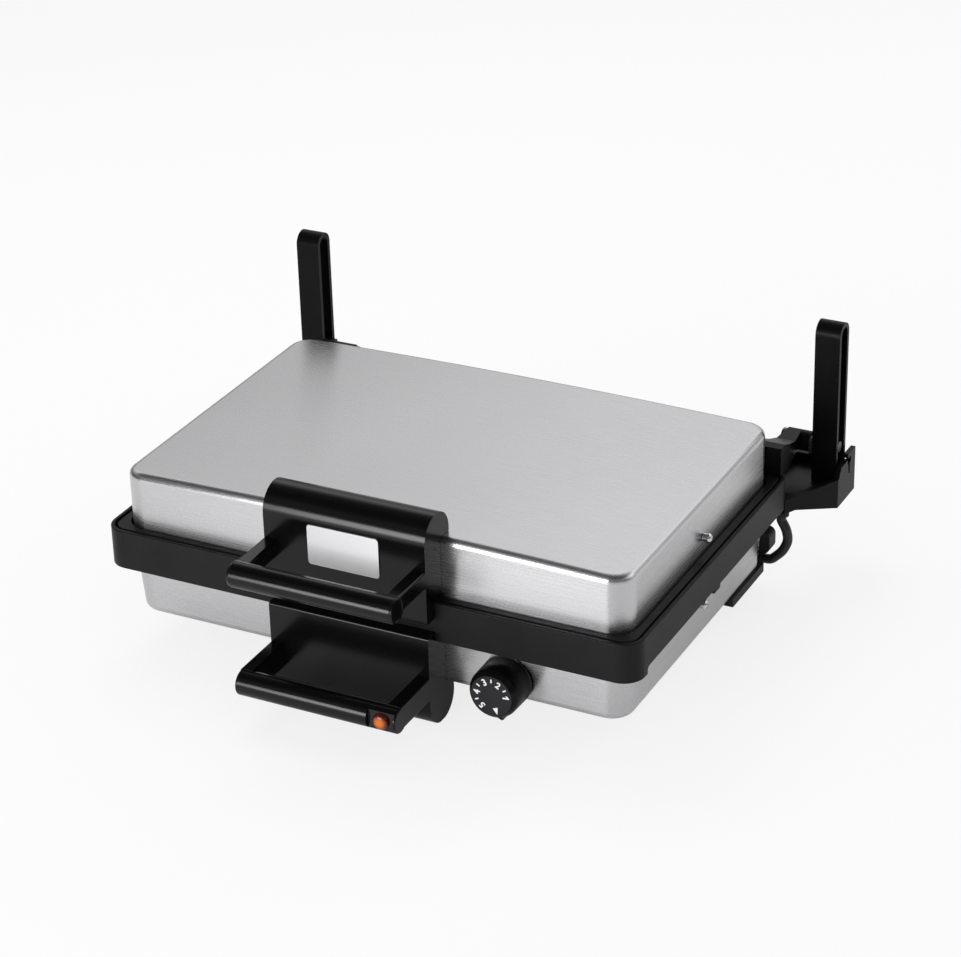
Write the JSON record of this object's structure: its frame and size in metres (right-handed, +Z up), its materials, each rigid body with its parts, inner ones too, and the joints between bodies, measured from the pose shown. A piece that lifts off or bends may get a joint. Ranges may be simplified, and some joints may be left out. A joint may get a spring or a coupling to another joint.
{
  "type": "electric contact grill",
  "caption": "Electric contact grill with ribbed plates in steel housings, bar handles, a numbered heat knob and a lid that lifts on slotted uprights and hinges open.",
  "frame": {"origin": "on the worktop, under the middle of the whole part", "axes": "+X to the right as seen from the front, +Y to the rear, +Z up"},
  "size_m": [0.4456, 0.3962, 0.1895],
  "materials": {
    "steel": "brushed stainless",
    "frame_black": "fine textured satin black",
    "plate_cast": "ribbed casting with a dark non-stick coat",
    "element": "dull tube",
    "tray_sheet": "bright sheet",
    "screw_steel": "bright",
    "handle_plastic": "gloss black",
    "lamp_trim": "gloss black",
    "lens_amber": "translucent amber",
    "lamp_body": "matt",
    "badge_metal": "satin, bare",
    "knob_plastic": "satin black",
    "dial_plastic": "satin dark grey with white print",
    "shaft_steel": "turned",
    "control_body": "matt",
    "rubber_black": "matt",
    "cover_plastic": "matt black",
    "lead_jacket": "satin",
    "arm_black": "satin black",
    "slider_plastic": "matt"
  },
  "bodies": {
    "base": {"base_frame": "frame_black", "base_shell": "steel", "lower_plate": "plate_cast", "lower_heater": "element", "lower_tray": "tray_sheet", "lower_tray_screws": "screw_steel", "lower_handle_block": "handle_plastic", "lower_grip": "handle_plastic", "lower_handle_screws": "screw_steel", "lamp_cover": "lamp_trim", "lamp_lens": "lens_amber", "lamp_holder": "lamp_body", "thermostat": "control_body", "terminal_block": "control_body", "base_side_screws": "screw_steel", "rear_feet": "rubber_black", "rear_cover": "cover_plastic", "runners": "cover_plastic", "mains_gland": "cover_plastic", "link_lead": "lead_jacket", "lead_bushes": "rubber_black", "bracket_right": "arm_black", "bracket_left": "arm_black", "bracket_screws": "screw_steel", "upright_right": "arm_black", "upright_left": "arm_black"},
    "knob": {"knob": "knob_plastic", "knob_dial": "dial_plastic", "thermostat_shaft": "shaft_steel"},
    "carriage": {"hinge_pins": "shaft_steel", "sliders": "slider_plastic", "retaining_rings": "shaft_steel"},
    "lid": {"lid_shell": "steel", "lid_frame": "frame_black", "upper_plate": "plate_cast", "upper_heater": "element", "upper_tray": "tray_sheet", "upper_tray_screws": "screw_steel", "overheat_fuse": "shaft_steel", "hinge_arm_right": "arm_black", "hinge_arm_left": "arm_black", "arm_screws": "screw_steel", "upper_handle_block": "handle_plastic", "upper_grip": "handle_plastic", "upper_handle_screws": "screw_steel", "badge_plate": "badge_metal", "lid_side_screws": "screw_steel"}
  },
  "joints": [
    {"name": "heat_knob", "type": "hinge", "parent": "base", "child": "knob", "pos_m": [0.103, -0.13912, 0.0395], "axis": [0, 1, 0], "range_deg": [0, 290]},
    {"name": "lid_lift", "type": "slide", "parent": "base", "child": "carriage", "axis": [0, 0, 1], "range_m": [0, 0.08]},
    {"name": "lid_hinge", "type": "hinge", "parent": "carriage", "child": "lid", "pos_m": [0, 0.17913, 0.093], "axis": [-1, 0, 0], "range_deg": [0, 180]}
  ]
}
